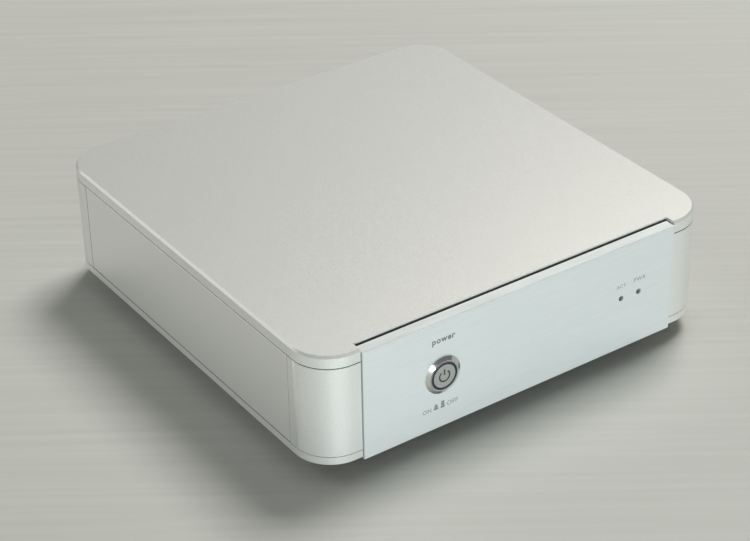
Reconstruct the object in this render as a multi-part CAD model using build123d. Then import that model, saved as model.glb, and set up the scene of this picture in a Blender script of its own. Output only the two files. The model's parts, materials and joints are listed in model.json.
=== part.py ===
from build123d import *
import os
from math import hypot

# A desktop media player in an aluminium case, with a hard drive tray at the back.
# Millimetres. +Z is up, the front panel faces -Y, and the origin is the middle of the
# footprint on the surface that the feet stand on.

# ---- case ----
case_width = 210.0
case_depth = 213.0
base_thickness = 4.0
post_height = 44.0
cover_thickness = 6.0
corner_radius = 18.0
cover_bevel = 1.0
base_bevel = 0.5
seam_bevel = 0.3
cover_pocket_depth = 2.5
cover_rim = 24.0
foot_height = 8.0
foot_radius = 11.0
foot_base_radius = 9.5
foot_inset = 30.0
foot_bore_radius = 2.0
foot_recess_radius = 4.5
foot_recess_depth = 4.0

# ---- corner posts ----
post_leg = 21.5
post_wall = 3.0
boss_centre = 10.0
boss_radius = 4.5
bolt_radius = 1.5
bolt_clearance = 0.1
bolt_head_radius = 2.8
bolt_head_height = 1.7
bolt_depth_in_cover = 3.0
flange_width = 9.0
flange_thickness = 3.0
flange_screw_rise = 14.0
groove_depth = 4.2
groove_width = 1.7
groove_offset = 1.0
groove_block_length = 8.0
groove_block_width = 5.5

# ---- panels ----
side_thickness = 3.0
side_gap = 0.25
tongue_thickness = 1.4
tongue_length = 4.0
front_thickness = 5.5
front_proud = 0.9
front_drop = 0.8
front_top_gap = 1.4
front_side_gap = 0.4
notch_gap = 0.8
rear_thickness = 3.0
rear_gap = 0.2
panel_edge_bevel = 0.25
screw_radius = 1.5
screw_head_radius = 2.75
screw_head_height = 1.6
screw_bite = 3.5

# ---- push switch ----
switch_inset = 40.0
switch_radius = 8.0
bezel_radius = 9.0
bezel_height = 1.5
bezel_lip_radius = 7.3
bezel_bore_radius = 6.9
bezel_bore_depth = 6.5
bezel_length = 19.0
cap_clearance = 0.1
cap_height = 5.0
cap_step = 0.2
cap_room = 2.7
ring_outer_radius = 6.6
ring_inner_radius = 5.5
ring_depth = 1.2
seal_thickness = 0.8
nut_across = 19.0
nut_height = 3.0
switch_block_side = 13.0
switch_block_length = 8.0
terminal_length = 5.0
terminal_width = 2.0
terminal_thickness = 0.5

# ---- indicator lights ----
led_inset = 19.75
led_pitch = 10.0
led_radius = 1.2
led_clearance = 0.1
led_recess = 0.6
led_flange_radius = 1.7
led_length = 5.4
led_board_width = 24.0
led_board_height = 12.0
board_thickness = 1.6

# ---- mains inlet, at the back on the button's side ----
inlet_x = -50.0
inlet_body_width = 27.0
inlet_body_height = 31.0
inlet_body_length = 24.0
inlet_flange_width = 50.0
inlet_flange_height = 33.0
inlet_flange_thickness = 3.0
inlet_screw_pitch = 40.0
inlet_fit = 0.2
socket_width = 24.0
socket_height = 16.5
socket_corner = 5.0
socket_depth = 16.0
socket_rise = 5.2
pin_width = 2.0
pin_height = 4.0
pin_length = 10.5
pin_pitch = 7.0
drawer_width = 22.0
drawer_height = 8.0
drawer_length = 18.0
drawer_drop = 10.0
drawer_fit = 0.35
drawer_face = 1.0
fuse_radius = 2.6
fuse_length = 18.0
lug_length = 6.0

# ---- audio sockets ----
audio_x = -18.0
audio_pitch = 18.0
audio_barrel_radius = 4.15
audio_barrel_length = 8.0
audio_bore_radius = 1.6
audio_bore_depth = 7.0
audio_collar_radius = 5.5
audio_collar_length = 2.0
audio_thread_radius = 3.0
audio_thread_length = 9.0

# ---- transformer ----
transformer_x = -54.0
transformer_y = 14.0
transformer_radius = 36.0
transformer_hole_radius = 11.0
transformer_height = 27.0
transformer_round = 7.0
pad_thickness = 1.5
dish_radius = 20.0
dish_thickness = 1.5
dish_bolt_radius = 2.5
dish_nut_height = 4.0

# ---- power supply board ----
supply_width = 84.0
supply_depth = 42.0
supply_x = -54.0
supply_y = -48.0
supply_rise = 5.0
capacitor_radius = 8.0
capacitor_height = 25.0
terminal_offset = 24.5
heatsink_width = 30.0
heatsink_depth = 10.0
heatsink_height = 22.0
heatsink_fins = 7
fin_thickness = 1.2

# ---- main board ----
main_width = 66.0
main_depth = 96.0
main_x = 35.0
main_rise = 5.0
standoff_radius = 2.75
standoff_inset = 4.0
header_inset = 14.0
usb_width = 13.2
usb_height = 15.6
usb_depth = 17.0
usb_slot_width = 11.6
usb_slot_height = 5.0
usb_slot_depth = 10.0
usb_offset = 18.0
network_width = 16.0
network_height = 13.5
network_depth = 21.0
network_slot_width = 11.7
network_slot_height = 8.0
network_slot_depth = 12.0
network_offset = 0.0
video_width = 15.0
video_height = 6.0
video_depth = 11.0
video_slot_width = 13.4
video_slot_height = 4.4
video_slot_depth = 7.0
video_offset = -17.0
socket_proud = 0.8
socket_fit = 0.3
chip_sink_side = 22.0
chip_sink_height = 7.0

# ---- drive bay: shelf, rails, tray, drive ----
tray_x = 33.0
drive_width = 69.85
drive_length = 100.0
drive_height = 9.5
tray_wall = 1.0
tray_side_height = 8.0
tray_fit = 0.15
rail_gap = 0.35
tray_flange_width = 2.5
panel_opening_fit = 0.4
rail_width = 5.0
rail_height = 12.0
rail_slot_fit = 0.35
shelf_thickness = 1.2
shelf_top = 37.4
shelf_foot_width = 8.0
dock_length = 6.0
dock_height = 7.0
dock_width = 44.0
dock_gap = 0.4
tray_front_width = 77.5
tray_front_height = 14.2
tray_front_gap = 0.3
tray_front_thickness = 4.0
handle_length = 46.0
handle_height = 8.0
handle_thickness = 2.4
handle_fit = 0.35
scoop_radius = 5.5
scoop_depth = 3.3
handle_pin_radius = 0.6
handle_pin_fit = 0.05
handle_pin_cover = 1.2
drive_screw_head = 0.5

# ---- wiring ----
mains_wire_radius = 1.6
signal_wire_radius = 1.4
wire_bend = 6.0

tolerance = 0.01

# ---- places that follow from the sizes above ----
case_height = base_thickness + post_height + cover_thickness
panel_seat = front_thickness - front_proud
rear_recess = panel_seat - rear_thickness
rear_reach = audio_collar_length + audio_barrel_length - rear_recess
front_reach = front_proud + bezel_height + cap_step
case_y = (front_reach - rear_reach) / 2
front_y = case_y - case_depth / 2
back_y = case_y + case_depth / 2
side_x = case_width / 2
base_z = foot_height
floor_z = base_z + base_thickness
ceiling_z = floor_z + post_height
top_z = ceiling_z + cover_thickness
panel_width = case_width - 2 * post_leg
front_face_y = front_y - front_proud
front_back_y = front_y + panel_seat
rear_face_y = back_y - rear_recess
rear_back_y = rear_face_y - rear_thickness
panel_mid_z = base_z + case_height / 2 - 1.0
switch_x = -panel_width / 2 + switch_inset
led_xs = [panel_width / 2 - led_inset - led_pitch, panel_width / 2 - led_inset]
inlet_z = (floor_z + ceiling_z) / 2
audio_zs = [inlet_z - audio_pitch / 2, inlet_z + audio_pitch / 2]
supply_z = floor_z + supply_rise
main_z = floor_z + main_rise
main_top_z = main_z + board_thickness
main_back_y = rear_back_y - 0.5
main_y = main_back_y - main_depth / 2
tray_floor_z = shelf_top + 1.0
tray_inside = drive_width + 2 * tray_fit
tray_width = tray_inside + 2 * tray_wall
tray_back_y = rear_face_y + tray_front_gap
drive_back_y = tray_back_y - 1.0
drive_front_y = drive_back_y - drive_length
rail_front_y = drive_front_y - dock_gap - dock_length - 1.0
tray_front_z = tray_floor_z + 5.4
slot_centre_z = main_top_z + usb_height / 2

node_shapes = {}


def span(x, y, z):
    """A block from pairs of limits along X, Y and Z."""
    size = [b - a for a, b in (x, y, z)]
    middle = [(a + b) / 2 for a, b in (x, y, z)]
    return Pos(*middle) * Box(*size)


def around(centre, width):
    return (centre - width / 2, centre + width / 2)


def rod(x, y, z, radius, length):
    """A cylinder standing on (x, y, z)."""
    return Pos(x, y, z + length / 2) * Cylinder(radius, length)


def rod_back(x, y, z, radius, length):
    """A cylinder that runs from (x, y, z) towards +Y."""
    return Pos(x, y + length / 2, z) * Rot(90, 0, 0) * Cylinder(radius, length)


def turned(profile, x, y, z):
    """A profile of (radius, distance towards +Y) points turned about a line along Y."""
    face = make_face(Polyline(*[(r, d) for r, d in profile], close=True))
    return Pos(x, y, z) * revolve(face, Axis.Y)


def joined(shapes):
    shapes = list(shapes)
    return shapes[0] + shapes[1:] if len(shapes) > 1 else shapes[0]


def group(shapes):
    """Separate solids kept in one node."""
    return Compound(children=[solid for shape in shapes for solid in shape.solids()])


def add(name, shape):
    node_shapes[name] = shape


def lead(points, radius, bend=wire_bend):
    """A lead along straight runs joined by tangent arcs."""
    path = FilletPolyline(*points, radius=bend)
    start = Plane(origin=path @ 0, z_dir=path % 0)
    return sweep(start * Circle(radius), path=path)


def screw_down(x, y, z, length):
    """A pan head screw whose head stands on (x, y, z) and whose shank goes down."""
    return rod(x, y, z, screw_head_radius, screw_head_height) + rod(x, y, z - length, screw_radius, length)


# ---- case shell ----
def plate_outline(thickness, z):
    outline = RectangleRounded(case_width, case_depth, corner_radius)
    return Pos(0, case_y, z) * extrude(outline, thickness)


def panel_notch(z):
    """The cut in a plate's front edge that the front panel stands in."""
    half = panel_width / 2
    return span((-half, half), (front_y - 5, front_back_y + notch_gap), z)


def boss_places():
    for sx in (-1, 1):
        for sy in (-1, 1):
            x = sx * (side_x - boss_centre)
            y = case_y + sy * (case_depth / 2 - boss_centre)
            yield x, y


def foot_places():
    for sx, side in ((-1, "left"), (1, "right")):
        for sy, end in ((-1, "front"), (1, "rear")):
            x = sx * (side_x - foot_inset)
            y = case_y + sy * (case_depth / 2 - foot_inset)
            yield f"foot_{end}_{side}", x, y


def top_cover():
    plate = plate_outline(cover_thickness, ceiling_z)
    plate = chamfer(plate.faces().sort_by(Axis.Z)[-1].edges(), cover_bevel)
    plate = chamfer(plate.faces().sort_by(Axis.Z)[0].edges(), seam_bevel)
    pocket = RectangleRounded(case_width - 2 * cover_rim, case_depth - 2 * cover_rim, 6)
    plate -= Pos(0, case_y, ceiling_z) * extrude(pocket, cover_pocket_depth)
    plate -= panel_notch((ceiling_z - 1, top_z + 1))
    for x, y in boss_places():
        plate -= rod(x, y, ceiling_z, bolt_radius, bolt_depth_in_cover)
    return plate


def base_plate():
    plate = plate_outline(base_thickness, base_z)
    plate = chamfer(plate.faces().sort_by(Axis.Z)[0].edges(), base_bevel)
    plate -= panel_notch((base_z - 1, floor_z + 1))
    for x, y in boss_places():
        plate -= rod(x, y, base_z, bolt_radius + bolt_clearance, base_thickness)
        plate -= rod(x, y, base_z, bolt_head_radius + bolt_clearance, bolt_head_height)
    for _, x, y in foot_places():
        plate -= rod(x, y, base_z, screw_radius, base_thickness)
    for x, y, _, _ in standoff_places():
        plate -= rod(x, y, base_z, screw_radius, base_thickness)
    for x, y in shelf_screw_places():
        plate -= rod(x, y, base_z, screw_radius, base_thickness)
    plate -= rod(transformer_x, transformer_y, base_z, dish_bolt_radius, base_thickness)
    return plate


def case_bolts():
    """Long bolts that rise through the posts into the cover, so its top stays plain."""
    length = base_thickness - bolt_head_height + post_height + bolt_depth_in_cover
    for x, y in boss_places():
        head = rod(x, y, base_z, bolt_head_radius, bolt_head_height)
        head -= rod(x, y, base_z, bolt_radius / 1.5, bolt_head_height / 1.5)
        yield head + rod(x, y, base_z + bolt_head_height, bolt_radius, length)


def corner_area(inset):
    """The plan of a case corner, taken in by inset, with its outer corner at the origin."""
    r = corner_radius
    outside = plan_box(inset, inset, r, r) - Pos(r, r) * Circle(r - inset)
    return plan_box(inset, inset, post_leg, post_leg) - outside


def plan_box(x0, y0, x1, y1):
    return Pos((x0 + x1) / 2, (y0 + y1) / 2) * Rectangle(x1 - x0, y1 - y0)


def post_plan():
    """Wall, bolt boss, panel flange and side groove, as one extruded section."""
    section = corner_area(0) - corner_area(post_wall)
    section += Pos(boss_centre, boss_centre) * Circle(boss_radius)
    seat_end = panel_seat + flange_thickness
    section += plan_box(post_leg - post_wall, 0, post_leg, seat_end)
    section += plan_box(post_leg - post_wall, panel_seat, post_leg + flange_width, seat_end)
    section += plan_box(0, post_leg - groove_block_length, groove_block_width, post_leg)
    section -= plan_box(groove_offset, post_leg - groove_depth, groove_offset + groove_width, post_leg)
    section -= Pos(boss_centre, boss_centre) * Circle(bolt_radius + bolt_clearance)
    return section


def on_case_outline(edge):
    """True for an edge of a post's section that lies on the outside of the case."""
    point = edge @ 0.5
    reach = hypot(point.X - corner_radius, point.Y - corner_radius)
    on_arc = max(point.X, point.Y) < corner_radius and abs(reach - corner_radius) < tolerance
    return on_arc or min(point.X, point.Y) < tolerance


def corner_post(sx, sy):
    post = extrude(post_plan(), post_height)
    for end in (0, -1):
        rim = post.faces().sort_by(Axis.Z)[end].outer_wire().edges()
        post = chamfer([edge for edge in rim if on_case_outline(edge)], seam_bevel)
    x = post_leg + flange_width / 2
    for z in (post_height / 2 - flange_screw_rise, post_height / 2 + flange_screw_rise):
        post -= rod_back(x, panel_seat, z, screw_radius, flange_thickness)
    if sx > 0:
        post = mirror(post, Plane.YZ)
    if sy > 0:
        post = mirror(post, Plane.XZ)
    return Pos(sx * side_x, case_y + sy * case_depth / 2, floor_z) * post


def side_panel(sx):
    y0 = front_y + post_leg + side_gap
    y1 = back_y - post_leg - side_gap
    z = (floor_z + side_gap, ceiling_z - side_gap)
    panel = span((0, side_thickness), (y0, y1), z)
    panel = chamfer(panel.faces().sort_by(Axis.X)[0].edges(), panel_edge_bevel)
    tongue_x = groove_offset + (groove_width - tongue_thickness) / 2
    reach = tongue_length - side_gap
    for a, b in ((y0 - reach, y0), (y1, y1 + reach)):
        panel += span((tongue_x, tongue_x + tongue_thickness), (a, b), z)
    panel = Pos(-side_x, 0, 0) * panel
    return mirror(panel, Plane.YZ) if sx > 0 else panel


def flange_screw_zs():
    middle = floor_z + post_height / 2
    return (middle - flange_screw_rise, middle + flange_screw_rise)


def flange_screw_xs():
    x = side_x - post_leg - flange_width / 2
    return (-x, x)


def front_panel():
    half = panel_width / 2 - front_side_gap
    z = (base_z - front_drop, top_z - front_top_gap)
    panel = span((-half, half), (front_face_y, front_back_y), z)
    panel = chamfer(panel.faces().sort_by(Axis.Y)[0].edges(), panel_edge_bevel)
    panel -= rod_back(switch_x, front_face_y, panel_mid_z, switch_radius + 0.1, front_thickness)
    for x in led_xs:
        panel -= rod_back(x, front_face_y, panel_mid_z, led_radius + led_clearance, front_thickness)
    for x in flange_screw_xs():
        for z in flange_screw_zs():
            panel -= rod_back(x, front_back_y - screw_bite, z, screw_radius, screw_bite)
    return panel


def front_panel_screws():
    y = front_back_y + flange_thickness
    for x in flange_screw_xs():
        for z in flange_screw_zs():
            shank = rod_back(x, front_back_y - screw_bite, z, screw_radius, screw_bite + flange_thickness)
            yield shank + rod_back(x, y, z, screw_head_radius, screw_head_height)


def rear_panel_screws():
    for x in flange_screw_xs():
        for z in flange_screw_zs():
            shank = rod_back(x, rear_back_y - flange_thickness, z, screw_radius, flange_thickness + rear_thickness)
            head = rod_back(x, rear_face_y, z, screw_head_radius, screw_head_height)
            head -= rod_back(x, rear_face_y + 0.7, z, screw_radius / 1.5, screw_head_height)
            yield shank + head


def rear_panel():
    half = panel_width / 2 - rear_gap
    z = (floor_z + rear_gap, ceiling_z - rear_gap)
    deep = (rear_back_y - 1, rear_face_y + 1)
    panel = span((-half, half), (rear_back_y, rear_face_y), z)
    panel -= span(around(inlet_x, inlet_body_width + 2 * inlet_fit), deep,
                  around(inlet_z, inlet_body_height + 2 * inlet_fit))
    for x in around(inlet_x, inlet_screw_pitch):
        panel -= rod_back(x, rear_back_y, inlet_z, screw_radius, rear_thickness)
    for z_audio in audio_zs:
        panel -= rod_back(audio_x, rear_back_y, z_audio, audio_thread_radius + 0.1, rear_thickness)
    for offset, width, height in board_sockets():
        low = main_top_z - socket_fit
        panel -= span(around(main_x + offset, width + 2 * socket_fit), deep, (low, main_top_z + height + socket_fit))
    low = tray_floor_z - drive_screw_head - panel_opening_fit
    high = tray_floor_z + tray_wall + drive_height + panel_opening_fit
    panel -= span(around(tray_x, tray_width + 2 * (tray_flange_width + panel_opening_fit)), deep, (low, high))
    for x in flange_screw_xs():
        for z_screw in flange_screw_zs():
            panel -= rod_back(x, rear_back_y, z_screw, screw_radius, rear_thickness)
    return panel


def foot(x, y):
    """A tapered rubber foot with a sunk screw."""
    profile = make_face(Polyline((foot_bore_radius, 0), (foot_base_radius, 0), (foot_radius, 2.0),
                                 (foot_radius, foot_height), (foot_bore_radius, foot_height), close=True))
    shape = revolve(Plane.XZ * profile, Axis.Z)
    shape -= rod(0, 0, 0, foot_recess_radius, foot_recess_depth)
    return Pos(x, y, 0) * shape


def foot_screws():
    for _, x, y in foot_places():
        head = rod(x, y, foot_recess_depth - screw_head_height, screw_head_radius, screw_head_height)
        yield head + rod(x, y, foot_recess_depth, screw_radius, foot_height - foot_recess_depth + base_thickness)


# ---- push switch ----
def button_bezel():
    body_end = bezel_height + bezel_length
    profile = [(0, bezel_bore_depth), (bezel_bore_radius, bezel_bore_depth), (bezel_bore_radius, 0),
               (bezel_lip_radius, 0), (bezel_radius, bezel_height - 0.6), (bezel_radius, bezel_height),
               (switch_radius, bezel_height), (switch_radius, body_end), (0, body_end)]
    return turned(profile, switch_x, front_face_y - bezel_height - seal_gap(), panel_mid_z)


def seal_gap():
    """The seal sits in a groove of the head, so the head meets the panel."""
    return 0.0


def button_cap():
    r = bezel_bore_radius - cap_clearance
    y = front_face_y - bezel_height - cap_step
    end = bezel_bore_depth - cap_room + cap_step
    profile = [(0, 0), (ring_inner_radius, 0), (ring_inner_radius, ring_depth), (ring_outer_radius, ring_depth),
               (ring_outer_radius, 0), (r, 0), (r, end), (0, end)]
    return turned(profile, switch_x, y, panel_mid_z)


def button_light_ring():
    profile = [(ring_inner_radius, 0), (ring_outer_radius, 0), (ring_outer_radius, ring_depth),
               (ring_inner_radius, ring_depth)]
    return turned(profile, switch_x, front_face_y - bezel_height - cap_step, panel_mid_z)


def button_seal():
    y = front_back_y
    ring = rod_back(switch_x, y, panel_mid_z, switch_radius + 1.8, seal_thickness)
    return ring - rod_back(switch_x, y, panel_mid_z, switch_radius, seal_thickness)


def button_nut():
    y = front_back_y + seal_thickness
    blank = Plane.XZ * extrude(RegularPolygon(nut_across / 2, 6, major_radius=False), -nut_height)
    nut = Pos(switch_x, y, panel_mid_z) * blank
    return nut - rod_back(switch_x, y, panel_mid_z, switch_radius, nut_height)


def button_switch_block():
    y = front_face_y + bezel_length
    block = span(around(switch_x, switch_block_side), (y, y + switch_block_length),
                 around(panel_mid_z, switch_block_side))
    end = (y + switch_block_length, y + switch_block_length + terminal_length)
    for dx in (-4.5, 0, 4.5):
        for dz in (-4, 4):
            block += span(around(switch_x + dx, terminal_width), end, around(panel_mid_z + dz, terminal_thickness))
    return block


# ---- indicator lights ----
def indicator_led(x):
    y = front_face_y + led_recess
    flange_y = led_board_y() - 1.0
    length = flange_y - y
    dome = Pos(x, y + led_radius, panel_mid_z) * Sphere(led_radius)
    shape = dome + rod_back(x, y + led_radius, panel_mid_z, led_radius, length - led_radius)
    return shape + rod_back(x, flange_y, panel_mid_z, led_flange_radius, 1.0)


def led_board_y():
    return front_back_y + 1.0 + led_length - front_thickness + 3.0


def led_board():
    middle = sum(led_xs) / 2
    y = led_board_y()
    board = span(around(middle, led_board_width), (y, y + board_thickness), around(panel_mid_z, led_board_height))
    for dx in (-9.5, 9.5):
        post = rod_back(middle + dx, front_back_y, panel_mid_z, 1.8, y - front_back_y)
        board += post
    header = span(around(header_xs()[1], 8), (y + board_thickness, y + board_thickness + 5), around(panel_mid_z, 5))
    return board + header


# ---- mains inlet and fuse drawer ----
def inlet_opening():
    """The six-sided mouth of an appliance inlet, cut to its depth."""
    w, h, c = socket_width / 2, socket_height / 2, socket_corner
    outline = Polyline((-w, -h), (w, -h), (w, h - c), (w - c, h), (-w + c, h), (-w, h - c), close=True)
    return extrude(Plane.XZ * make_face(outline), -socket_depth)


def inlet_face_y():
    return rear_face_y + inlet_flange_thickness


def mains_inlet():
    face = inlet_face_y()
    body = span(around(inlet_x, inlet_flange_width), (rear_face_y, face), around(inlet_z, inlet_flange_height))
    ends = [e for e in body.edges().filter_by(Axis.Y)]
    body = fillet(ends, 5)
    body += span(around(inlet_x, inlet_body_width), (face - inlet_flange_thickness - inlet_body_length, rear_face_y),
                 around(inlet_z, inlet_body_height))
    body -= Pos(inlet_x, face - socket_depth, inlet_z + socket_rise) * inlet_opening()
    for x in around(inlet_x, inlet_screw_pitch):
        body -= rod_back(x, rear_face_y, inlet_z, screw_radius + 0.1, inlet_flange_thickness)
    for dx, dz in ((-pin_pitch, -1.5), (0, 2.5), (pin_pitch, -1.5)):
        z = inlet_z + socket_rise + dz
        body += span(around(inlet_x + dx, pin_width), (face - socket_depth, face - socket_depth + pin_length),
                     around(z, pin_height))
        back = face - inlet_flange_thickness - inlet_body_length
        body += span(around(inlet_x + dx, 0.8), (back - lug_length, back), around(z, 4.8))
    z = inlet_z - drawer_drop
    body -= span(around(inlet_x, drawer_width + 2 * drawer_fit), (face - drawer_length - 0.2, face + 1),
                 around(z, drawer_height + 2 * drawer_fit))
    return body


def fuse_drawer():
    face = inlet_face_y()
    z = inlet_z - drawer_drop
    drawer = span(around(inlet_x, drawer_width), (face - drawer_length, face), around(z, drawer_height))
    cradle = rod_back(0, 0, 0, fuse_radius + 0.2, fuse_length + 0.8)
    drawer -= Pos(inlet_x - fuse_length / 2 - 0.4, face - drawer_length / 2, z + 1.2) * Rot(0, 0, -90) * cradle
    drawer -= span(around(inlet_x, fuse_length + 0.8), around(face - drawer_length / 2, 2 * fuse_radius + 0.4),
                   (z + 1.2, z + drawer_height))
    grip = span(around(inlet_x, 8), (face, face + drawer_face), (z - drawer_height / 2, z - drawer_height / 2 + 2))
    return drawer + grip


def fuse():
    z = inlet_z - drawer_drop + 1.2
    y = inlet_face_y() - drawer_length / 2
    barrel = rod_back(0, 0, 0, fuse_radius - 0.3, fuse_length)
    for end in (0, fuse_length - 4):
        barrel += rod_back(0, end, 0, fuse_radius, 4)
    return Pos(inlet_x - fuse_length / 2, y, z) * Rot(0, 0, -90) * barrel


def inlet_screws():
    y = inlet_face_y()
    for x in around(inlet_x, inlet_screw_pitch):
        shank = rod_back(x, rear_back_y - 2, inlet_z, screw_radius, y - rear_back_y + 2)
        yield shank + rod_back(x, y, inlet_z, screw_head_radius, screw_head_height)


# ---- audio sockets ----
def audio_socket(z):
    y = rear_face_y
    tip = audio_collar_length + audio_barrel_length
    body = rod_back(audio_x, y, z, audio_collar_radius, audio_collar_length)
    body += rod_back(audio_x, y, z, audio_barrel_radius, tip)
    body += rod_back(audio_x, y - audio_thread_length, z, audio_thread_radius, audio_thread_length)
    body -= rod_back(audio_x, y + tip - audio_bore_depth, z, audio_bore_radius, audio_bore_depth)
    nut_y = rear_back_y - 2.2
    return body + rod_back(audio_x, nut_y, z, 4.6, 2.2)


# ---- transformer and supply ----
def transformer():
    """A toroidal winding: a rounded rectangle turned about the core's axis."""
    ring_width = transformer_radius - transformer_hole_radius
    section = RectangleRounded(ring_width, transformer_height, transformer_round)
    profile = Pos((transformer_radius + transformer_hole_radius) / 2, transformer_height / 2) * section
    return Pos(transformer_x, transformer_y, floor_z + pad_thickness) * revolve(Plane.XZ * profile, Axis.Z)


def transformer_pads():
    for z in (floor_z, floor_z + pad_thickness + transformer_height):
        pad = rod(transformer_x, transformer_y, z, transformer_radius - transformer_round, pad_thickness)
        yield pad - rod(transformer_x, transformer_y, z, transformer_hole_radius, pad_thickness)


def dish_z():
    return floor_z + 2 * pad_thickness + transformer_height


def transformer_dish():
    dish = rod(transformer_x, transformer_y, dish_z(), dish_radius, dish_thickness)
    dish = chamfer(dish.faces().sort_by(Axis.Z)[-1].edges(), 0.6)
    return dish - rod(transformer_x, transformer_y, dish_z(), dish_bolt_radius + 0.2, dish_thickness)


def transformer_bolt():
    top = dish_z() + dish_thickness
    bolt = rod(transformer_x, transformer_y, base_z, dish_bolt_radius, top - base_z)
    nut = extrude(RegularPolygon(4, 6, major_radius=False), dish_nut_height)
    return bolt + Pos(transformer_x, transformer_y, top) * nut


def board_corners(x, y, width, depth):
    for sx in (-1, 1):
        for sy in (-1, 1):
            yield x + sx * (width / 2 - standoff_inset), y + sy * (depth / 2 - standoff_inset)


def standoff_places():
    for x, y in board_corners(supply_x, supply_y, supply_width, supply_depth):
        yield x, y, supply_rise, supply_z
    for x, y in board_corners(main_x, main_y, main_width, main_depth):
        yield x, y, main_rise, main_z


def board_standoffs():
    for x, y, rise, _ in standoff_places():
        pillar = Pos(x, y, floor_z) * extrude(RegularPolygon(standoff_radius, 6), rise)
        yield pillar + rod(x, y, base_z + 0.5, screw_radius, base_thickness - 0.5)


def board_screws():
    for x, y, _, board_z in standoff_places():
        top = board_z + board_thickness
        yield rod(x, y, top, screw_head_radius, screw_head_height) + rod(x, y, board_z, screw_radius, board_thickness)


def circuit_board(x, y, z, width, depth):
    board = span(around(x, width), around(y, depth), (z, z + board_thickness))
    for hole_x, hole_y in board_corners(x, y, width, depth):
        board -= rod(hole_x, hole_y, z, screw_radius, board_thickness)
    return board


def supply_top():
    return supply_z + board_thickness


def filter_capacitors():
    for dx in (-30, -12):
        can = rod(supply_x + dx, supply_y, supply_top(), capacitor_radius, capacitor_height)
        yield fillet(can.faces().sort_by(Axis.Z)[-1].edges(), 1.2)


def regulator_heatsink():
    """A finned extrusion that stands on the supply board."""
    x, y, z = supply_x + 14, supply_y, supply_top()
    tall = (z, z + heatsink_height)
    sink = span(around(x, heatsink_width), around(y, 2.5), tall)
    pitch = (heatsink_width - fin_thickness) / (heatsink_fins - 1)
    for i in range(heatsink_fins):
        fin_x = x - heatsink_width / 2 + fin_thickness / 2 + i * pitch
        sink += span(around(fin_x, fin_thickness), (y, y + heatsink_depth), tall)
    return sink


def supply_parts():
    """Regulator, bridge rectifier and the two terminal blocks."""
    x, y, z = supply_x + 14, supply_y, supply_top()
    yield span(around(x, 10), (y - 1.25 - 4.5, y - 1.25), (z, z + 18))
    yield span(around(supply_x + 35, 5), around(y - 3, 16), (z, z + 15))
    for dx in (-terminal_offset, terminal_offset):
        block = span(around(supply_x + dx, 15), (y + 10.5, y + 18.5), (z, z + 10))
        for screw_dx in (-5, 0, 5):
            block -= rod(supply_x + dx + screw_dx, y + 14, z + 8.5, 1.8, 1.5)
        yield block


# ---- main board ----
def board_sockets():
    """Offset from the board's middle, width and height of each socket at its back edge."""
    return [(usb_offset, usb_width, usb_height), (network_offset, network_width, network_height),
            (video_offset, video_width, video_height)]


def socket_can(offset, width, height, depth):
    end = rear_face_y + socket_proud
    return span(around(main_x + offset, width), (end - depth, end), (main_top_z, main_top_z + height))


def usb_sockets():
    end = rear_face_y + socket_proud
    can = socket_can(usb_offset, usb_width, usb_height, usb_depth)
    for z in (main_top_z + 3.9, main_top_z + usb_height - 3.9):
        can -= span(around(main_x + usb_offset, usb_slot_width), (end - usb_slot_depth, end + 1),
                    around(z, usb_slot_height))
    return can


def network_socket():
    end = rear_face_y + socket_proud
    can = socket_can(network_offset, network_width, network_height, network_depth)
    z = main_top_z + network_height / 2 - 0.5
    deep = (end - network_slot_depth, end + 1)
    can -= span(around(main_x + network_offset, network_slot_width), deep, around(z, network_slot_height))
    latch = (z + network_slot_height / 2, z + network_slot_height / 2 + 1.8)
    can -= span(around(main_x + network_offset, 6.0), deep, latch)
    return can


def video_socket():
    end = rear_face_y + socket_proud
    can = socket_can(video_offset, video_width, video_height, video_depth)
    z = main_top_z + video_height / 2
    deep = (end - video_slot_depth, end + 1)
    can -= span(around(main_x + video_offset, video_slot_width), deep, around(z, video_slot_height))
    return can


def processor_heatsink():
    x, y = main_x, main_y - 12
    sink = span(around(x, chip_sink_side), around(y, chip_sink_side), (main_top_z, main_top_z + 2.5))
    pitch = (chip_sink_side - fin_thickness) / (heatsink_fins - 1)
    for i in range(heatsink_fins):
        fin_x = x - chip_sink_side / 2 + fin_thickness / 2 + i * pitch
        sink += span(around(fin_x, fin_thickness), around(y, chip_sink_side), (main_top_z, main_top_z + chip_sink_height))
    return sink


# ---- drive bay ----
def rail_x(side):
    """The inner face of a rail, beside the tray's wall."""
    return tray_x + side * (tray_width / 2 + rail_gap)


def shelf_limits():
    outer = tray_width / 2 + rail_gap + rail_width
    return tray_x - outer, tray_x + outer


def shelf_length():
    return (rail_front_y, rear_back_y - flange_thickness - 1.5)


def shelf_screw_places():
    lo, hi = shelf_limits()
    for x in (lo - shelf_foot_width / 2, hi + shelf_foot_width / 2):
        for y in (rail_front_y + 12, main_y + 10):
            yield x, y


def drive_shelf():
    """Folded sheet: a deck on two legs with feet turned outward."""
    lo, hi = shelf_limits()
    y, t = shelf_length(), shelf_thickness
    deck = span((lo, hi), y, (shelf_top - t, shelf_top))
    for x_leg, foot_x in (((lo, lo + t), (lo - shelf_foot_width, lo + t)), ((hi - t, hi), (hi - t, hi + shelf_foot_width))):
        deck += span(x_leg, y, (floor_z, shelf_top))
        for foot_y in (rail_front_y + 12, main_y + 10):
            deck += span(foot_x, around(foot_y, 14), (floor_z, floor_z + t))
    mid = sum(shelf_length()) / 2
    for dy in (-30, 0, 30):
        window = RectangleRounded(44, 18, 4)
        deck -= Pos(tray_x, mid + dy, shelf_top - t) * extrude(window, t)
    for x, hole_y in shelf_screw_places():
        deck -= rod(x, hole_y, floor_z, screw_radius, t)
    return deck


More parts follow.
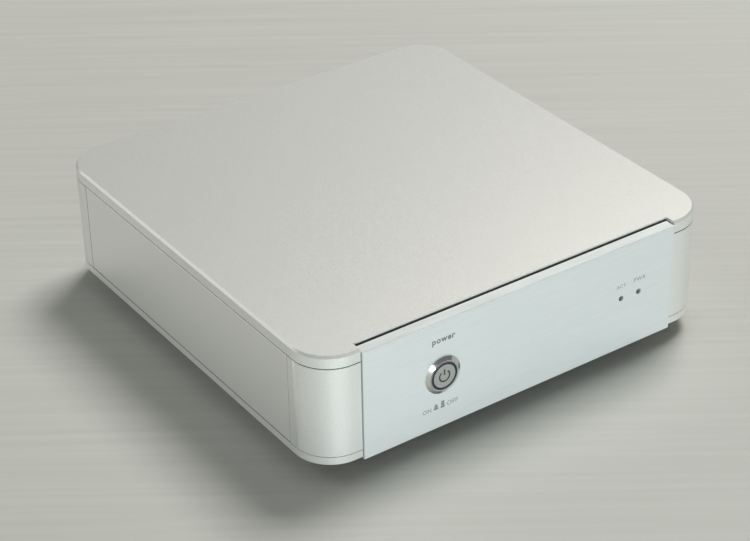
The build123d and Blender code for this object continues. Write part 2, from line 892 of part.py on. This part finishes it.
def shelf_screws():
    for x, y in shelf_screw_places():
        yield screw_down(x, y, floor_z + shelf_thickness, shelf_thickness + base_thickness - 0.5)


def drive_rail(side):
    """A guide with a slot for the tray's turned edge."""
    inner = rail_x(side)
    x = sorted((inner, inner + side * rail_width))
    rail = span(x, shelf_length(), (shelf_top, shelf_top + rail_height))
    slot = sorted((inner, inner + side * (tray_flange_width + rail_slot_fit)))
    flange_z = tray_floor_z + tray_side_height
    rail -= span(slot, shelf_length(), (flange_z - tray_wall - rail_slot_fit, flange_z + rail_slot_fit))
    return rail


def drive_tray():
    """Folded sheet: floor, two walls and an edge turned out along each wall."""
    y = (drive_front_y, tray_back_y)
    half = tray_width / 2
    tray = span((tray_x - half, tray_x + half), y, (tray_floor_z, tray_floor_z + tray_wall))
    for side in (-1, 1):
        wall = sorted((tray_x + side * half, tray_x + side * (half - tray_wall)))
        edge = sorted((tray_x + side * (half - tray_wall), tray_x + side * (half + tray_flange_width)))
        top = tray_floor_z + tray_side_height
        tray += span(wall, y, (tray_floor_z, top))
        tray += span(edge, (y[0], rear_back_y - 1), (top - tray_wall, top))
    for dy in (25, 50, 75):
        slot = SlotOverall(36, 8)
        tray -= Pos(tray_x, drive_front_y + dy, tray_floor_z) * extrude(slot, tray_wall)
    for x, screw_y in drive_screw_places():
        tray -= rod(x, screw_y, tray_floor_z, screw_radius, tray_wall)
    return tray


def drive_screw_places():
    for dx in (-30.86, 30.86):
        for dy in (14.0, 90.6):
            yield tray_x + dx, drive_back_y - dy


def hard_drive():
    z = tray_floor_z + tray_wall
    y = (drive_front_y, drive_back_y)
    drive = span(around(tray_x, drive_width), y, (z, z + drive_height))
    drive = fillet(drive.edges().filter_by(Axis.Z), 2)
    step = span(around(tray_x, drive_width - 8), (y[0] + 6, y[1] - 4), (z + drive_height - 0.6, z + drive_height))
    drive -= span(around(tray_x, drive_width - 6), (y[0] + 5, y[1] - 3), (z + drive_height - 0.6, z + drive_height))
    drive += step
    for x, screw_y in drive_screw_places():
        drive -= rod(x, screw_y, z, screw_radius, 3)
    return drive


def drive_screws():
    for x, y in drive_screw_places():
        head = rod(x, y, tray_floor_z - drive_screw_head, screw_head_radius, drive_screw_head)
        yield head + rod(x, y, tray_floor_z, screw_radius, tray_wall + 2.5)


def drive_dock():
    """The fixed connector that the drive plugs into, on its upright board."""
    y = (drive_front_y - dock_gap - dock_length, drive_front_y - dock_gap)
    z = (shelf_top, shelf_top + tray_wall + 1.0 + dock_height)
    return span(around(tray_x, dock_width), y, z)


def tray_front():
    y = (tray_back_y, tray_back_y + tray_front_thickness)
    front = span(around(tray_x, tray_front_width), y, around(tray_front_z, tray_front_height))
    front = chamfer(front.faces().sort_by(Axis.Y)[-1].edges(), 0.4)
    recess = (y[1] - handle_thickness - handle_fit, y[1] + 1)
    front -= span(around(tray_x, handle_length + 2 * handle_fit), recess,
                  around(tray_front_z, handle_height + 2 * handle_fit))
    tip = tray_x + handle_length / 2
    front -= rod_back(tip, y[1] - scoop_depth, tray_front_z, scoop_radius, scoop_depth + 1)
    front -= handle_pin()
    return front


def pin_place():
    """The handle's pivot, near the end of its recess."""
    x = tray_x - handle_length / 2 + handle_thickness / 2
    y = tray_back_y + tray_front_thickness - handle_thickness / 2
    return x, y


def tray_handle():
    x0 = tray_x - handle_length / 2
    x, y = pin_place()
    face = tray_back_y + tray_front_thickness
    lever = span((x, x0 + handle_length), (face - handle_thickness, face), around(tray_front_z, handle_height))
    lever += rod(x, y, tray_front_z - handle_height / 2, handle_thickness / 2, handle_height)
    lever -= rod(x, y, tray_front_z - handle_height / 2, handle_pin_radius + handle_pin_fit, handle_height)
    return lever


def handle_pin():
    x, y = pin_place()
    length = tray_front_height - 2 * handle_pin_cover
    return rod(x, y, tray_front_z - length / 2, handle_pin_radius, length)


# ---- wiring ----
def mains_wiring():
    """Inlet to switch along the left wall, and switch to transformer."""
    inlet_end = inlet_face_y() - inlet_flange_thickness - inlet_body_length - lug_length
    wall_x = -side_x + side_thickness + 5
    switch_end = front_face_y + bezel_length + switch_block_length + terminal_length
    z = inlet_z + socket_rise - 1.5
    high = supply_top() + capacitor_height + 4
    yield lead([(inlet_x - pin_pitch, inlet_end, z), (inlet_x - pin_pitch, inlet_end - 7, z),
                (wall_x, inlet_end - 7, z), (wall_x, switch_end + 7, z),
                (switch_x - 4.5, switch_end + 7, panel_mid_z + 4),
                (switch_x - 4.5, switch_end, panel_mid_z + 4)], mains_wire_radius, 3.4)
    yield lead([(switch_x + 4.5, switch_end, panel_mid_z + 4), (switch_x + 4.5, switch_end + 9, panel_mid_z + 4),
                (switch_x + 4.5, switch_end + 9, high), (switch_x + 4.5, transformer_y - 28, high),
                (switch_x + 4.5, transformer_y - 28, floor_z + pad_thickness + transformer_height)],
               mains_wire_radius, 3.0)


def signal_wiring():
    """Supply board to main board, and indicator board to main board."""
    z = supply_top() + 5
    low = main_top_z + 2
    start = supply_x + terminal_offset + 7.5
    board_x, led_x = header_xs()
    edge_y = main_y - main_depth / 2 + 1
    supply_end_y = supply_y + 14.5
    yield lead([(start, supply_end_y, z), (board_x, supply_end_y, z), (board_x, supply_end_y + 9, z),
                (board_x, supply_end_y + 9, low), (board_x, edge_y, low)], signal_wire_radius, 3.0)
    led_end = led_board_y() + board_thickness + 5
    yield lead([(led_x, led_end, panel_mid_z), (led_x, led_end + 30, panel_mid_z),
                (led_x, led_end + 30, low), (led_x, edge_y, low)], signal_wire_radius, 5.0)


def header_xs():
    reach = main_width / 2 - header_inset
    return main_x - reach, main_x + reach


def power_header():
    """Two small headers at the main board's front edge that the leads plug into."""
    y = (main_y - main_depth / 2 + 1, main_y - main_depth / 2 + 7)
    for x in header_xs():
        yield span(around(x, 7), y, (main_top_z, main_top_z + 6))


def build_case():
    add("top_cover", top_cover())
    add("base_plate", base_plate())
    add("case_bolts", group(case_bolts()))
    for sx, side in ((-1, "left"), (1, "right")):
        add(f"side_panel_{side}", side_panel(sx))
        for sy, end in ((-1, "front"), (1, "rear")):
            add(f"corner_post_{end}_{side}", corner_post(sx, sy))
    add("front_panel", front_panel())
    add("rear_panel", rear_panel())
    add("panel_screws", group([*front_panel_screws(), *rear_panel_screws()]))
    for name, x, y in foot_places():
        add(name, foot(x, y))
    add("foot_screws", group(foot_screws()))


def build_front():
    add("button_bezel", button_bezel())
    add("button_cap", button_cap())
    add("button_light_ring", button_light_ring())
    add("button_seal", button_seal())
    add("button_nut", button_nut())
    add("button_switch_block", button_switch_block())
    add("activity_led", indicator_led(led_xs[0]))
    add("power_led", indicator_led(led_xs[1]))
    add("led_board", led_board())


def build_rear():
    add("mains_inlet", mains_inlet())
    add("fuse_drawer", fuse_drawer())
    add("fuse", fuse())
    add("inlet_screws", group(inlet_screws()))
    add("audio_socket_lower", audio_socket(audio_zs[0]))
    add("audio_socket_upper", audio_socket(audio_zs[1]))


def build_inside():
    add("transformer", transformer())
    add("transformer_pads", group(transformer_pads()))
    add("transformer_dish", transformer_dish())
    add("transformer_bolt", transformer_bolt())
    add("supply_board", circuit_board(supply_x, supply_y, supply_z, supply_width, supply_depth))
    add("filter_capacitors", group(filter_capacitors()))
    add("regulator_heatsink", regulator_heatsink())
    add("supply_parts", group(supply_parts()))
    add("main_board", circuit_board(main_x, main_y, main_z, main_width, main_depth))
    add("usb_sockets", usb_sockets())
    add("network_socket", network_socket())
    add("video_socket", video_socket())
    add("processor_heatsink", processor_heatsink())
    add("board_headers", group(power_header()))
    add("board_standoffs", group(board_standoffs()))
    add("board_screws", group([*board_screws(), *shelf_screws()]))
    add("mains_wiring", group(mains_wiring()))
    add("signal_wiring", group(signal_wiring()))


def build_drive_bay():
    add("drive_shelf", drive_shelf())
    add("drive_rail_left", drive_rail(-1))
    add("drive_rail_right", drive_rail(1))
    add("drive_dock", drive_dock())
    add("drive_tray", drive_tray())
    add("tray_front", tray_front())
    add("tray_handle", tray_handle())
    add("handle_pin", handle_pin())
    add("hard_drive", hard_drive())
    add("drive_screws", group(drive_screws()))


build_case()
build_front()
build_rear()
build_inside()
build_drive_bay()
os.makedirs("parts", exist_ok=True)
for node_name, node_shape in node_shapes.items():
    export_step(node_shape, f"parts/{node_name}.step")
print(len(node_shapes), "nodes; case from", front_y, "to", back_y)
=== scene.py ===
import json
import math

import bmesh
import bpy
from mathutils import Matrix, Vector


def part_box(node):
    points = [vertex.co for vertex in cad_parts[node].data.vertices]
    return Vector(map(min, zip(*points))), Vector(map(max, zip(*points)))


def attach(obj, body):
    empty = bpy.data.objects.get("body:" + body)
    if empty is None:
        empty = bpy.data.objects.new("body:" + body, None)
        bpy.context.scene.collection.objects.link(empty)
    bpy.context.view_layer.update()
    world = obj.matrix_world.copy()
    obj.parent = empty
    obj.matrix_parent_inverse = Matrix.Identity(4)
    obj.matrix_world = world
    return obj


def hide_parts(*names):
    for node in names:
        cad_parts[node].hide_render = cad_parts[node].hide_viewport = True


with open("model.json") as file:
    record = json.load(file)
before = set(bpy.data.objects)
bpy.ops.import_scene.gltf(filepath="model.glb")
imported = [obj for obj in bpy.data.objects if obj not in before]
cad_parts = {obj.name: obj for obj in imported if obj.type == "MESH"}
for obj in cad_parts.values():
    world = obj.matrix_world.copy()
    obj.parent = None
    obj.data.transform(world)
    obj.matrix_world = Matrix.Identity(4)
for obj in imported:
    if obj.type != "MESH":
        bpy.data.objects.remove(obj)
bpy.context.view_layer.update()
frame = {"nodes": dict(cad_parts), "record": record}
nodes = frame["nodes"]

MM = 0.001

# sizes of the case that the frame's boxes don't give
CORNER_RADIUS = 18.0 * MM
POST_LEG = 21.5 * MM
POST_BLOCK_LENGTH = 8.0 * MM
SEAM_BEVEL = 0.3 * MM
NOTCH_EDGE = 83.5 * MM
NOTCH_GAP = 0.8 * MM

# thin pieces that are added on the case
PRINT_HEIGHT = 0.02 * MM
SEAM_INSET = 0.1 * MM
SEAM_FLOOR = 0.35 * MM
SEAM_HALF = 0.2 * MM
ARC_STEPS = 12


# ---- materials ----
def shader(name):
    material = bpy.data.materials.new(name)
    material.use_nodes = True
    tree = material.node_tree
    surface = next(n for n in tree.nodes if n.type == "BSDF_PRINCIPLED")
    return material, tree, surface


def noise_field(tree, scale, detail=4.0, turn=0.0):
    """A noise texture in the object's own space, turned in plan and stretched by scale (per metre)."""
    place = tree.nodes.new("ShaderNodeTexCoord")
    turned = tree.nodes.new("ShaderNodeMapping")
    turned.inputs["Rotation"].default_value = (0, 0, turn)
    mapping = tree.nodes.new("ShaderNodeMapping")
    mapping.inputs["Scale"].default_value = scale
    noise = tree.nodes.new("ShaderNodeTexNoise")
    noise.inputs["Scale"].default_value = 1.0
    noise.inputs["Detail"].default_value = detail
    tree.links.new(place.outputs["Object"], turned.inputs["Vector"])
    tree.links.new(turned.outputs["Vector"], mapping.inputs["Vector"])
    tree.links.new(mapping.outputs["Vector"], noise.inputs["Vector"])
    return noise.outputs["Fac"]


# noise stays near its middle, so a range is spread between these two values
NOISE_LOW, NOISE_HIGH = 0.3, 0.7


def shade_range(tree, value, low, high):
    ramp = tree.nodes.new("ShaderNodeValToRGB")
    first, last = ramp.color_ramp.elements
    first.position, last.position = NOISE_LOW, NOISE_HIGH
    first.color, last.color = (*low, 1), (*high, 1)
    tree.links.new(value, ramp.inputs["Fac"])
    return ramp.outputs["Color"]


def value_range(tree, value, low, high):
    spread = tree.nodes.new("ShaderNodeMapRange")
    spread.inputs["From Min"].default_value = NOISE_LOW
    spread.inputs["From Max"].default_value = NOISE_HIGH
    spread.inputs["To Min"].default_value = low
    spread.inputs["To Max"].default_value = high
    tree.links.new(value, spread.inputs["Value"])
    return spread.outputs["Result"]


def relief(tree, surface, value, strength, depth):
    bump = tree.nodes.new("ShaderNodeBump")
    bump.inputs["Strength"].default_value = strength
    bump.inputs["Distance"].default_value = depth
    tree.links.new(value, bump.inputs["Height"])
    tree.links.new(bump.outputs["Normal"], surface.inputs["Normal"])


def finish(name, colour, roughness, metallic=0.0, grain=(900, 900, 900), vary=0.05, rough_vary=0.04,
           bump=0.15, depth=0.00002, coat=0.0, clear=0.0):
    """One finish: colour and roughness wander with the grain, which also raises the surface a little."""
    material, tree, surface = shader(name)
    field = noise_field(tree, grain)
    low = tuple(max(0.0, c * (1 - vary)) for c in colour)
    high = tuple(min(1.0, c * (1 + vary)) for c in colour)
    tree.links.new(shade_range(tree, field, low, high), surface.inputs["Base Color"])
    tree.links.new(value_range(tree, field, roughness - rough_vary, roughness + rough_vary),
                   surface.inputs["Roughness"])
    surface.inputs["Metallic"].default_value = metallic
    surface.inputs["Coat Weight"].default_value = coat
    surface.inputs["Transmission Weight"].default_value = clear
    relief(tree, surface, field, bump, depth)
    return material


FINISHES = {
    "anodised_silver": finish("anodised silver", (0.78, 0.785, 0.755), 0.4, 0.5, (1400, 1400, 1400), 0.035),
    "anodised_panel": finish("brushed panel", (0.73, 0.765, 0.76), 0.42, 0.35, (60, 900, 2600), 0.03,
                             bump=0.1),
    "dark_steel": finish("blackened steel", (0.025, 0.025, 0.027), 0.45, 0.6, (1500, 1500, 1500), 0.2),
    "bright_steel": finish("zinc plate", (0.6, 0.6, 0.56), 0.34, 0.95, (1200, 1200, 1200), 0.08),
    "brass": finish("gilt brass", (0.72, 0.53, 0.22), 0.28, 1.0, (1500, 1500, 1500), 0.06),
    "stainless": finish("polished stainless", (0.74, 0.75, 0.75), 0.1, 1.0, (2500, 400, 2500), 0.04,
                        rough_vary=0.03, bump=0.05),
    "satin_cap": finish("satin stainless", (0.55, 0.56, 0.55), 0.36, 0.85, (3000, 300, 3000), 0.06),
    "blue_lens": finish("dark blue lens", (0.006, 0.008, 0.035), 0.25, 0.0, (600, 600, 600), 0.25, coat=0.3),
    "black_rubber": finish("black rubber", (0.02, 0.02, 0.02), 0.72, 0.0, (2200, 2200, 2200), 0.3, bump=0.5),
    "black_plastic": finish("moulded black", (0.022, 0.022, 0.024), 0.5, 0.0, (2600, 2600, 2600), 0.2,
                            bump=0.4),
    "dark_lens": finish("smoked lens", (0.035, 0.04, 0.035), 0.18, 0.0, (900, 900, 900), 0.3, coat=0.6),
    "circuit_green": finish("solder mask", (0.012, 0.09, 0.03), 0.32, 0.0, (420, 420, 1500), 0.35, coat=0.4),
    "glass": finish("fuse glass", (0.8, 0.83, 0.82), 0.08, 0.0, (900, 900, 900), 0.03, 0.02, 0.02, clear=0.8),
    "winding": finish("taped winding", (0.36, 0.17, 0.04), 0.35, 0.1, (500, 500, 90), 0.3, bump=0.6,
                      depth=0.0002, coat=0.3),
    "capacitor_sleeve": finish("shrink sleeve", (0.012, 0.02, 0.06), 0.3, 0.0, (500, 500, 200), 0.3,
                               coat=0.3),
    "black_aluminium": finish("black anodised", (0.02, 0.02, 0.022), 0.4, 0.5, (1500, 1500, 300), 0.2),
    "socket_steel": finish("tinned steel", (0.58, 0.58, 0.55), 0.3, 0.95, (900, 900, 900), 0.08),
    "white_plastic": finish("natural plastic", (0.66, 0.64, 0.57), 0.45, 0.0, (1500, 1500, 1500), 0.06),
    "zinc_steel": finish("zinc sheet", (0.5, 0.52, 0.52), 0.36, 0.9, (220, 260, 220), 0.12, 0.06),
    "drive_case": finish("drive casting", (0.42, 0.43, 0.44), 0.42, 0.8, (1200, 1200, 1200), 0.1),
    "wire_sleeve": finish("wire sleeve", (0.03, 0.03, 0.03), 0.4, 0.0, (900, 900, 900), 0.3),
}
for piece in frame["record"]["subparts"]:
    mesh = nodes[piece["node"]].data
    mesh.materials.clear()
    mesh.materials.append(FINISHES[piece["material_slot"]])

PRINT_GRAIN = (3000, 3000, 3000)
INK = finish("grey printing ink", (0.16, 0.175, 0.175), 0.6, 0.0, PRINT_GRAIN, 0.25)
SIGN_INK = finish("sign printing ink", (0.2, 0.215, 0.215), 0.6, 0.0, PRINT_GRAIN, 0.25)
PALE_INK = finish("pale printing ink", (0.3, 0.32, 0.32), 0.6, 0.0, PRINT_GRAIN, 0.2)
ETCH = finish("darkened engraving", (0.05, 0.052, 0.055), 0.5, 0.3, PRINT_GRAIN, 0.25)
# painted shade: a near-black finish for the strips that darken the seams and the gap behind the front panel
SEAM_SHADE = finish("seam shadow", (0.035, 0.038, 0.034), 0.7, 0.0, (900, 900, 900), 0.3)


# ---- pieces added on the CAD frame ----
panel_lo, panel_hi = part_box("front_panel")
base_lo, base_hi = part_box("base_plate")
cover_lo, cover_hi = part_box("top_cover")
cap_lo, cap_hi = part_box("button_cap")
base_z = base_lo.z


def add_object(name, mesh, body):
    made = bpy.data.objects.new(name, mesh)
    bpy.context.scene.collection.objects.link(made)
    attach(made, body)
    return made


def add_mesh(name, points, faces, material, body):
    mesh = bpy.data.meshes.new(name)
    mesh.from_pydata(points, [], faces)
    mesh.update()
    mesh.materials.append(material)
    add_object(name, mesh, body)


def slab(name, outline, y, thickness, material, body):
    """An outline of (x, z) points, standing on the face at y and reaching towards -Y."""
    count = len(outline)
    points = [(x, y, z) for x, z in outline] + [(x, y - thickness, z) for x, z in outline]
    sides = [(i, (i + 1) % count, count + (i + 1) % count, count + i) for i in range(count)]
    faces = [tuple(range(count)), tuple(reversed(range(count, 2 * count)))] + sides
    add_mesh(name, points, faces, material, body)


def bar_outline(x0, x1, z0, z1):
    return [(x0, z0), (x1, z0), (x1, z1), (x0, z1)]


def ring_part(name, centre, inner, outer, start, end, y, thickness, material, body, steps=40):
    """Part of a flat ring, between two angles in degrees counted from straight up."""
    outline = []
    for radius, order in ((outer, range(steps + 1)), (inner, range(steps, -1, -1))):
        for i in order:
            angle = math.radians(start + (end - start) * i / steps)
            outline.append((centre[0] + radius * math.sin(angle), centre[1] + radius * math.cos(angle)))
    points = [(x, y, z) for x, z in outline] + [(x, y - thickness, z) for x, z in outline]
    total = len(outline)
    faces = []
    for i in range(steps):
        a, b, c, d = i, i + 1, total - 2 - i, total - 1 - i
        faces.append((a + total, d + total, c + total, b + total))
        faces.append((a, b, c, d))
    add_mesh(name, points, faces, material, body)


def lettering(name, words, x0, x1, z_mid, y, material, body, spacing, weight):
    """Printed words between x0 and x1 on a face that looks towards -Y."""
    curve = bpy.data.curves.new(name, "FONT")
    curve.body = words
    curve.space_character = spacing
    curve.resolution_u = 3
    curve.offset = weight
    curve.size = 1.0
    written = bpy.data.objects.new(name, curve)
    bpy.context.scene.collection.objects.link(written)
    bpy.context.view_layer.update()
    mesh = bpy.data.meshes.new_from_object(written.evaluated_get(bpy.context.evaluated_depsgraph_get()))
    bpy.data.objects.remove(written)
    xs = [v.co.x for v in mesh.vertices]
    ys = [v.co.y for v in mesh.vertices]
    scale = (x1 - x0) / (max(xs) - min(xs))
    middle = (max(ys) + min(ys)) / 2
    for vertex in mesh.vertices:
        x = x0 + (vertex.co.x - min(xs)) * scale
        vertex.co = (x, y, z_mid + (vertex.co.y - middle) * scale)
    mesh.materials.clear()
    mesh.materials.append(material)
    mesh.update()
    add_object(name, mesh, body)


# ---- words and signs on the front panel, in millimetres from its middle and above the base plate ----
LABELS = [  # name, words, left end, right end, height of the middle, ink, spacing, weight
    ("word_power", "power", -48.6, -36.8, 42.7, INK, 1.14, 0.03),
    ("word_on", "ON", -53.6, -49.2, 9.9, PALE_INK, 1.1, 0.02),
    ("word_off", "OFF", -41.0, -35.3, 10.0, PALE_INK, 1.1, 0.02),
    ("word_activity", "ACT", 50.9, 56.2, 32.4, PALE_INK, 1.2, 0.012),
    ("word_supply", "PWR", 60.8, 67.4, 32.7, PALE_INK, 1.2, 0.012),
]
for name, words, x0, x1, rise, ink, spacing, weight in LABELS:
    lettering(name, words, x0 * MM, x1 * MM, base_z + rise * MM, panel_lo.y - PRINT_HEIGHT, ink, "case",
              spacing, weight)

SIGN_IN_X, SIGN_OUT_X = -46.7, -43.2
SIGNS = [  # the pressed and the released button, each a base bar with a head on it: name, x, z, width, height
    ("sign_in_base", SIGN_IN_X, 9.6, 2.3, 1.0),
    ("sign_in_head", SIGN_IN_X, 10.75, 1.7, 1.1),
    ("sign_in_top", SIGN_IN_X, 11.6, 1.2, 0.4),
    ("sign_out_base", SIGN_OUT_X, 9.4, 2.2, 1.0),
    ("sign_out_head", SIGN_OUT_X, 10.8, 1.6, 1.5),
    ("sign_out_top", SIGN_OUT_X, 12.0, 1.6, 0.7),
]
for name, x, z, width, height in SIGNS:
    outline = bar_outline((x - width / 2) * MM, (x + width / 2) * MM,
                          base_z + (z - height / 2) * MM, base_z + (z + height / 2) * MM)
    slab(name, outline, panel_lo.y, PRINT_HEIGHT, SIGN_INK, "case")


def power_sign():
    """The sign cut in the button's cap: an open ring with a bar at its gap."""
    middle_x, middle_z = (cap_lo.x + cap_hi.x) / 2, (cap_lo.z + cap_hi.z) / 2
    ring_inner, ring_outer = 2.2 * MM, 2.95 * MM
    half_opening = 38
    ring_part("power_sign_arc", (middle_x, middle_z), ring_inner, ring_outer, half_opening,
              360 - half_opening, cap_lo.y, PRINT_HEIGHT, ETCH, "button")
    bar_half, bar_low, bar_high = 0.37 * MM, 0.5 * MM, 3.3 * MM
    bar = bar_outline(middle_x - bar_half, middle_x + bar_half, middle_z + bar_low, middle_z + bar_high)
    slab("power_sign_bar", bar, cap_lo.y, PRINT_HEIGHT, ETCH, "button")


power_sign()


# ---- dark strips down in the seams of the case, painted shade in the grooves ----
def case_side_path(side, inset):
    """Points along the case's outline from the front notch round one side to the back, at an inset."""
    front, back = base_lo.y + inset, base_hi.y - inset
    radius = CORNER_RADIUS - inset
    centre_x = base_hi.x - inset - radius
    points = [(NOTCH_EDGE, front)]
    for centre_y, first in ((front + radius, -90), (back - radius, 0)):
        for i in range(ARC_STEPS + 1):
            angle = math.radians(first + 90 * i / ARC_STEPS)
            points.append((centre_x + radius * math.cos(angle), centre_y + radius * math.sin(angle)))
    points.append((NOTCH_EDGE, back))
    return [(side * x, y) for x, y in points]


def seam_shade_strip(name, outer, inner, z0, z1):
    """A dark strip between two paths, in the groove between two plates: painted shade in the groove."""
    count = len(outer)
    points = [(x, y, z) for z in (z0, z1) for path in (outer, inner) for x, y in path]
    lower_out, lower_in, upper_out, upper_in = 0, count, 2 * count, 3 * count
    faces = []
    for a in range(count - 1):
        b = a + 1
        faces.append((lower_out + a, lower_out + b, upper_out + b, upper_out + a))
        faces.append((upper_in + a, upper_in + b, lower_in + b, lower_in + a))
        faces.append((upper_out + a, upper_out + b, upper_in + b, upper_in + a))
        faces.append((lower_in + a, lower_in + b, lower_out + b, lower_out + a))
    add_mesh(name, points, faces, SEAM_SHADE, "case")


def seams(side, word):
    """The two long seams of one side, over and under the posts, and the two beside its panel, each darkened
    with painted shade.
    """
    outer, inner = case_side_path(side, SEAM_INSET), case_side_path(side, SEAM_FLOOR)
    for level, z in (("upper", cover_lo.z), ("lower", base_hi.z)):
        seam_shade_strip(f"seam_{level}_{word}", outer, inner, z - SEAM_HALF, z + SEAM_HALF)
    x_out, x_in = side * (base_hi.x - SEAM_INSET), side * (base_hi.x - SEAM_FLOOR)
    front, back = base_lo.y + POST_LEG, base_hi.y - POST_LEG
    for end, y0, y1 in (("front", front, front + SEAM_FLOOR), ("rear", back - SEAM_FLOOR, back)):
        seam_shade_strip(f"seam_{end}_{word}", [(x_out, y0), (x_out, y1)], [(x_in, y0), (x_in, y1)],
                  base_hi.z + SEAM_HALF, cover_lo.z - SEAM_HALF)


def gap_shadow():
    """The shade in the gap behind the front panel, as a dark strip down on the notch's wall."""
    thickness = 0.05 * MM
    half = NOTCH_EDGE - thickness
    top_drop, bottom_drop = 0.75 * MM, 2.9 * MM
    outline = bar_outline(-half, half, cover_hi.z - bottom_drop, cover_hi.z - top_drop)
    slab("gap_shadow", outline, panel_hi.y + NOTCH_GAP, thickness, SEAM_SHADE, "case")


seams(-1, "left")
seams(1, "right")
gap_shadow()


# ---- corner posts ----
BLOCK_START = POST_LEG - POST_BLOCK_LENGTH
BLOCK_REACH = 1.2 * MM
BLOCK_CUTS = (0.0, 0.05, 0.1, 0.15, 0.2)  # shares of the corner radius, where the block's face is divided
SHARP_ANGLE = 28


def arc_inset(from_end):
    """How far the rounded corner lies in from the side, at a distance from the case's front or back."""
    return CORNER_RADIUS - math.sqrt(CORNER_RADIUS ** 2 - (CORNER_RADIUS - from_end) ** 2)


def take_back_block(shape, low, high):
    """Moves the outer face of the block behind the side groove onto the corner's arc."""
    at_front = low.y < (base_lo.y + base_hi.y) / 2
    side = 1 if low.x > 0 else -1
    for share in BLOCK_CUTS:
        depth = CORNER_RADIUS * (1 - share)
        y = base_lo.y + depth if at_front else base_hi.y - depth
        bmesh.ops.bisect_plane(shape, geom=shape.verts[:] + shape.edges[:] + shape.faces[:],
                               plane_co=(0, y, 0), plane_no=(0, 1, 0), dist=0.01 * MM)
    for vertex in shape.verts:
        from_side = base_hi.x - abs(vertex.co.x)
        from_end = vertex.co.y - base_lo.y if at_front else base_hi.y - vertex.co.y
        if not BLOCK_START - 0.1 * MM < from_end < CORNER_RADIUS or from_side > BLOCK_REACH:
            continue
        at_rim = min(vertex.co.z - low.z, high.z - vertex.co.z) < 0.05 * MM
        wanted = arc_inset(from_end) + (SEAM_BEVEL if at_rim else 0.0)
        if from_side < wanted:
            vertex.co.x = side * (base_hi.x - wanted)
    bmesh.ops.remove_doubles(shape, verts=shape.verts[:], dist=0.005 * MM)


def rounded_post(name):
    """A corner post from its node's own mesh, with its wall round to the arc all the way."""
    source = nodes[name]
    shape = bmesh.new()
    shape.from_mesh(source.data)
    shape.transform(source.matrix_world)
    take_back_block(shape, *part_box(name))
    mesh = bpy.data.meshes.new(name + "_rounded")
    shape.to_mesh(mesh)
    shape.free()
    for spare in [a.name for a in mesh.attributes if "normal" in a.name or a.name.startswith("sharp")]:
        mesh.attributes.remove(mesh.attributes[spare])
    mesh.shade_smooth()
    mesh.set_sharp_from_angle(angle=math.radians(SHARP_ANGLE))
    mesh.materials.clear()
    mesh.materials.append(FINISHES["anodised_silver"])
    made = add_object(name + "_rounded", mesh, "case")
    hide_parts(name)


for corner in ("front_left", "front_right", "rear_left", "rear_right"):
    rounded_post("corner_post_" + corner)


# ---- stage ----
CAMERA_AZIMUTH = -34.4


def plain_stage():
    """A pale floor with faint streaks that run across the picture."""
    material, tree, surface = shader("pale floor")
    field = noise_field(tree, (5, 260, 1), 3.0, math.radians(-CAMERA_AZIMUTH))
    tree.links.new(shade_range(tree, field, (0.56, 0.565, 0.525), (0.61, 0.615, 0.575)),
                   surface.inputs["Base Color"])
    tree.links.new(value_range(tree, field, 0.62, 0.74), surface.inputs["Roughness"])
    bpy.ops.mesh.primitive_plane_add(size=14.0, location=(0, 0, 0))
    floor = bpy.context.object
    floor.name = "floor"
    floor.data.materials.append(material)


def dark_card():
    """A dark card in front of the case, which the polished bezel mirrors."""
    where = Vector((-0.1, -1.0, 0.62))
    card = finish("dark card", (0.006, 0.007, 0.006), 0.8, 0.0, (20, 20, 20), 0.2)
    bpy.ops.mesh.primitive_plane_add(size=1.0, location=where)
    made = bpy.context.object
    made.name = "dark_card"
    made.scale = (0.9, 0.3, 1)
    made.rotation_euler = where.to_track_quat("Z", "Y").to_euler()
    made.data.materials.append(card)


def area_light(name, place, size, power, colour):
    """A flat light that looks at the middle of the case."""
    data = bpy.data.lights.new(name, "AREA")
    data.shape = "RECTANGLE"
    data.size, data.size_y = size
    data.energy = power
    data.color = colour
    made = bpy.data.objects.new(name, data)
    bpy.context.scene.collection.objects.link(made)
    made.location = place
    aim = Vector((0, 0, 0.03)) - Vector(place)
    made.rotation_euler = aim.to_track_quat("-Z", "Y").to_euler()


def lights():
    area_light("key", (1.35, 0.58, 2.4), (1.1, 1.1), 56, (1.0, 0.985, 0.95))
    area_light("front box", (-0.45, -1.65, 0.09), (0.9, 0.14), 21, (0.89, 0.97, 1.0))
    area_light("left box", (-1.5, 0.8, 0.12), (0.6, 0.2), 2.8, (1.0, 1.0, 0.96))
    area_light("left high box", (-1.2, 1.65, 1.15), (0.9, 0.6), 4.5, (1.0, 1.0, 0.97))
    world = bpy.data.worlds.new("studio")
    bpy.context.scene.world = world
    world.use_nodes = True
    back = next(n for n in world.node_tree.nodes if n.type == "BACKGROUND")
    back.inputs["Color"].default_value = (0.9, 0.92, 0.9, 1)
    back.inputs["Strength"].default_value = 0.2


def camera():
    """The photograph's view, fitted to the case's corners."""
    azimuth, elevation, roll = math.radians(CAMERA_AZIMUTH), math.radians(32.17), math.radians(-1.08)
    distance = 1.0039
    picture_width = 750
    focal_pixels = 2132.3
    target = Vector((3.7 * MM, 9.5 * MM + (base_lo.y + base_hi.y) / 2, base_z))
    back = Vector((math.sin(azimuth) * math.cos(elevation), -math.cos(azimuth) * math.cos(elevation),
                   math.sin(elevation)))
    right = (-back).cross(Vector((0, 0, 1))).normalized()
    up = right.cross(-back)
    right, up = (math.cos(roll) * right + math.sin(roll) * up, -math.sin(roll) * right + math.cos(roll) * up)
    data = bpy.data.cameras.new("camera")
    made = bpy.data.objects.new("camera", data)
    bpy.context.scene.collection.objects.link(made)
    data.sensor_width = 36.0
    data.lens = focal_pixels * data.sensor_width / picture_width
    data.clip_start, data.clip_end = 0.05, 50
    turn = Matrix((right, up, back)).transposed().to_4x4()
    made.matrix_world = Matrix.Translation(target + back * distance) @ turn
    bpy.context.scene.camera = made


plain_stage()
dark_card()
lights()
camera()
bpy.context.scene.view_settings.view_transform = "Standard"
